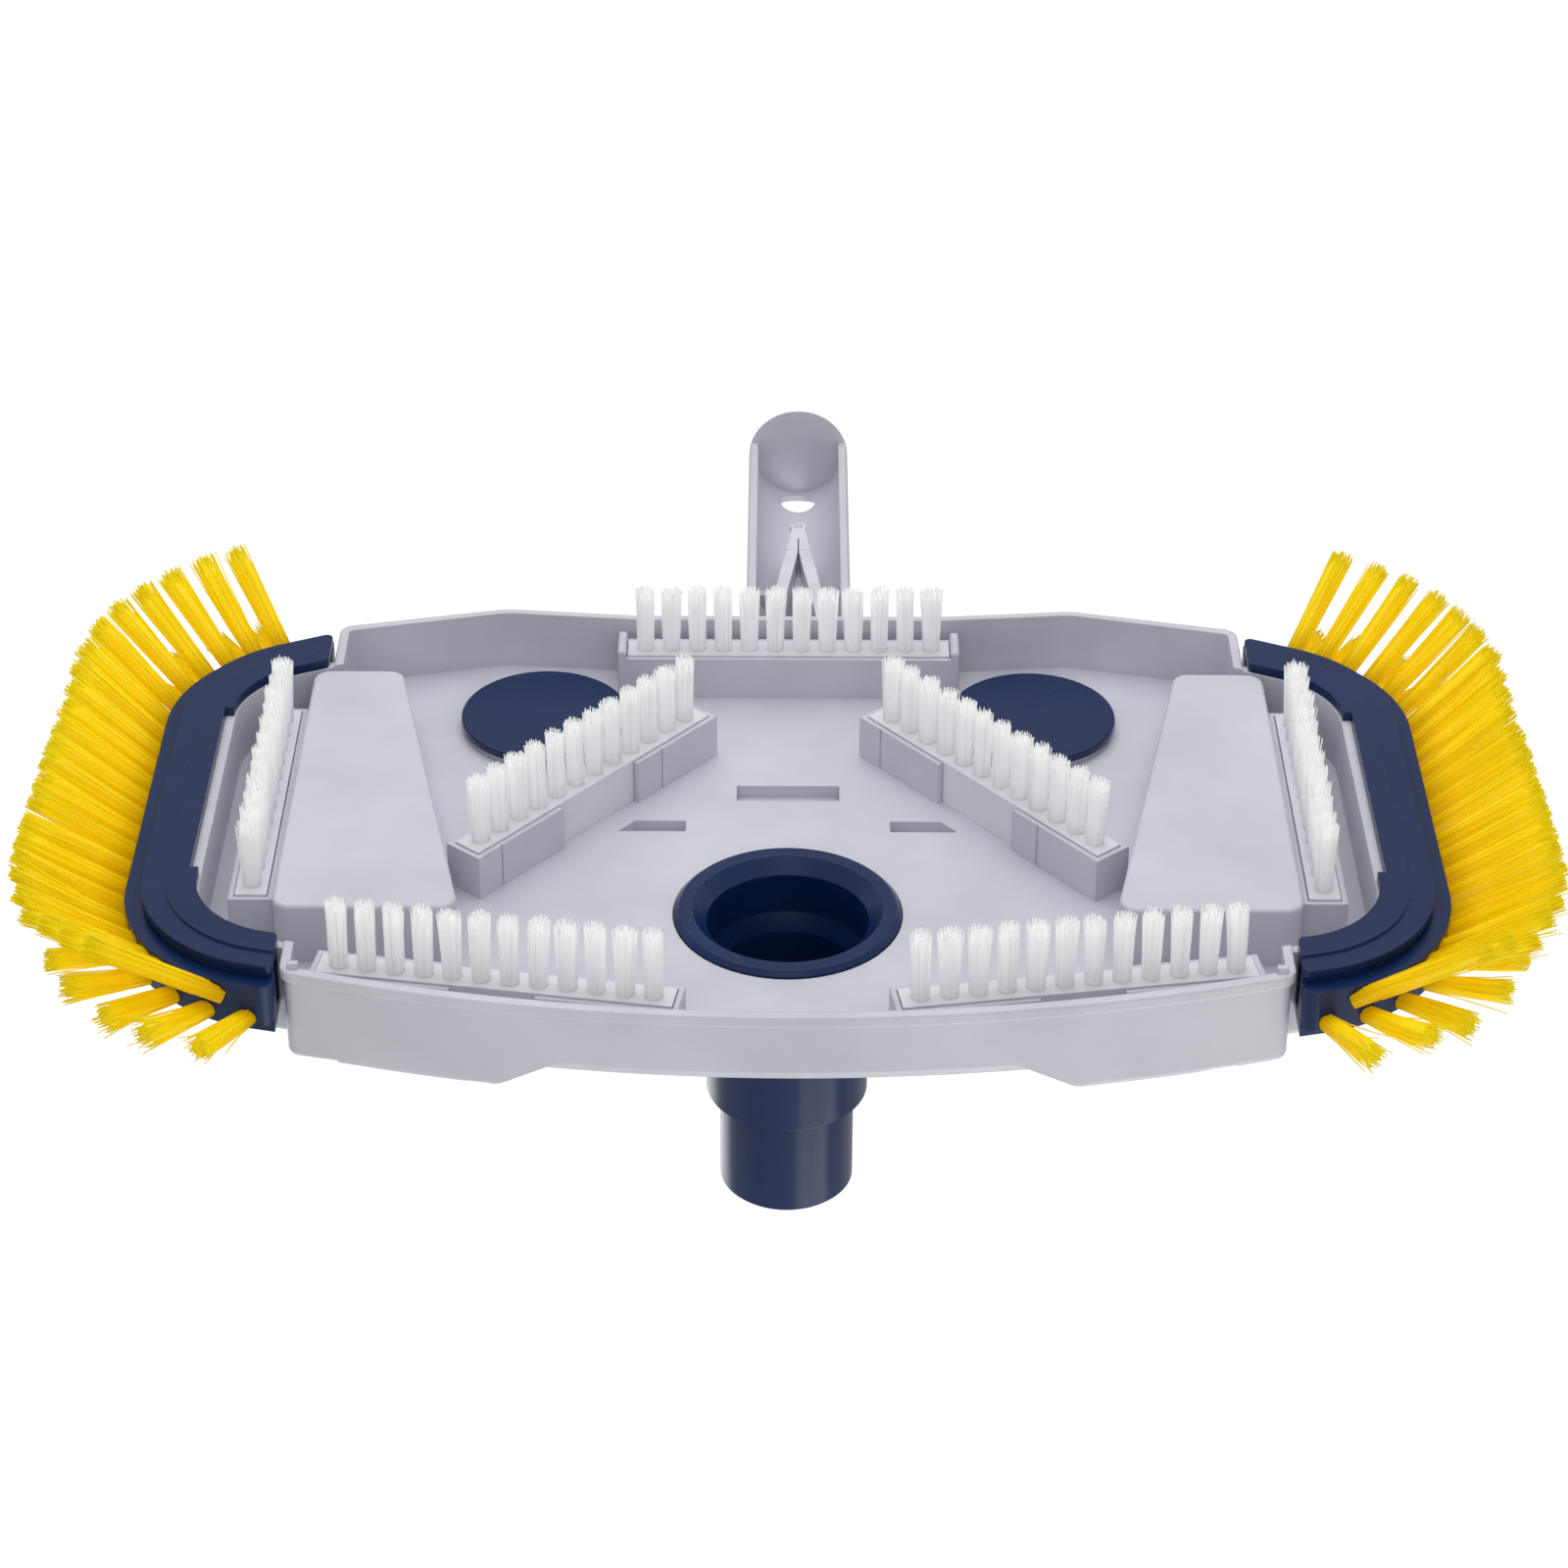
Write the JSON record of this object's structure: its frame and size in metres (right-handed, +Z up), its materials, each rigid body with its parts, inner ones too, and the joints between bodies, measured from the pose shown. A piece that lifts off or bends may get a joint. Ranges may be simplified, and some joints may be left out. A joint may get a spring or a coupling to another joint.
{
  "type": "manual vacuum head",
  "caption": "Weighted pool vacuum head on short floor brushes, with fanned side brushes, a turning hose spigot and a folding pole handle with a spring clip.",
  "frame": {"origin": "under the middle of the whole head and folded handle, on the pool floor that the white tufts stand on", "axes": "+Z up in use towards the hose spigot, +X along the head's long side, +Y the way the folded handle points"},
  "size_m": [0.3576, 0.3404, 0.1048],
  "materials": {
    "grey_abs": "satin",
    "blue_abs": "gloss",
    "yellow_nylon": "satin",
    "white_nylon": "satin",
    "clip_acetal": "satin",
    "acetal_ring": "satin",
    "seal_rubber": "matte",
    "galvanised_steel": "dull",
    "stainless_steel": "brushed"
  },
  "bodies": {
    "head": {"body_shell": "grey_abs", "side_rail_left": "blue_abs", "side_rail_right": "blue_abs", "side_brush_carrier_left": "blue_abs", "side_brush_carrier_right": "blue_abs", "ballast_cap_left": "blue_abs", "ballast_cap_right": "blue_abs", "ballast_disc_left": "galvanised_steel", "ballast_disc_right": "galvanised_steel", "ballast_block_left": "galvanised_steel", "ballast_block_right": "galvanised_steel", "lobe_cover_left": "grey_abs", "lobe_cover_right": "grey_abs", "side_tufts_lower_left": "yellow_nylon", "side_tufts_lower_right": "yellow_nylon", "side_tufts_upper_left": "yellow_nylon", "side_tufts_upper_right": "yellow_nylon", "brush_bar_rear_centre": "grey_abs", "floor_tufts_rear_centre": "white_nylon", "brush_bar_front_left": "grey_abs", "floor_tufts_front_left": "white_nylon", "brush_bar_front_right": "grey_abs", "floor_tufts_front_right": "white_nylon", "brush_bar_diagonal_left": "grey_abs", "floor_tufts_diagonal_left": "white_nylon", "brush_bar_diagonal_right": "grey_abs", "floor_tufts_diagonal_right": "white_nylon", "brush_bar_side_left": "grey_abs", "floor_tufts_side_left": "white_nylon", "brush_bar_side_right": "grey_abs", "floor_tufts_side_right": "white_nylon", "cover_screws": "stainless_steel", "rail_screws": "stainless_steel", "handle_pivot_pin": "stainless_steel", "pivot_pin_clip": "stainless_steel"},
    "swivel": {"hose_swivel": "blue_abs", "swivel_retaining_ring": "acetal_ring", "swivel_seal": "seal_rubber"},
    "handle": {"pole_handle": "grey_abs", "spring_clip_bend": "clip_acetal"},
    "clip_left": {"spring_clip_leg_left": "clip_acetal"},
    "clip_right": {"spring_clip_leg_right": "clip_acetal"}
  },
  "joints": [
    {"name": "hose_swivel_spin", "type": "hinge", "parent": "head", "child": "swivel", "pos_m": [0, -0.10138, 0.0286], "axis": [0, 0, 1], "continuous": true},
    {"name": "handle_tilt", "type": "hinge", "parent": "head", "child": "handle", "pos_m": [-0.0027, -0.04338, 0.0506], "axis": [1, 0, 0], "range_deg": [0, 90]},
    {"name": "clip_left_press", "type": "hinge", "parent": "handle", "child": "clip_left", "pos_m": [-0.00456, 0.10462, 0.0506], "axis": [0, 0, 1], "range_deg": [0, 4], "stiffness_Nm_per_rad": 0.5},
    {"name": "clip_right_press", "type": "hinge", "parent": "handle", "child": "clip_right", "pos_m": [-0.00084, 0.10462, 0.0506], "axis": [0, 0, -1], "range_deg": [0, 4], "stiffness_Nm_per_rad": 0.5}
  ]
}
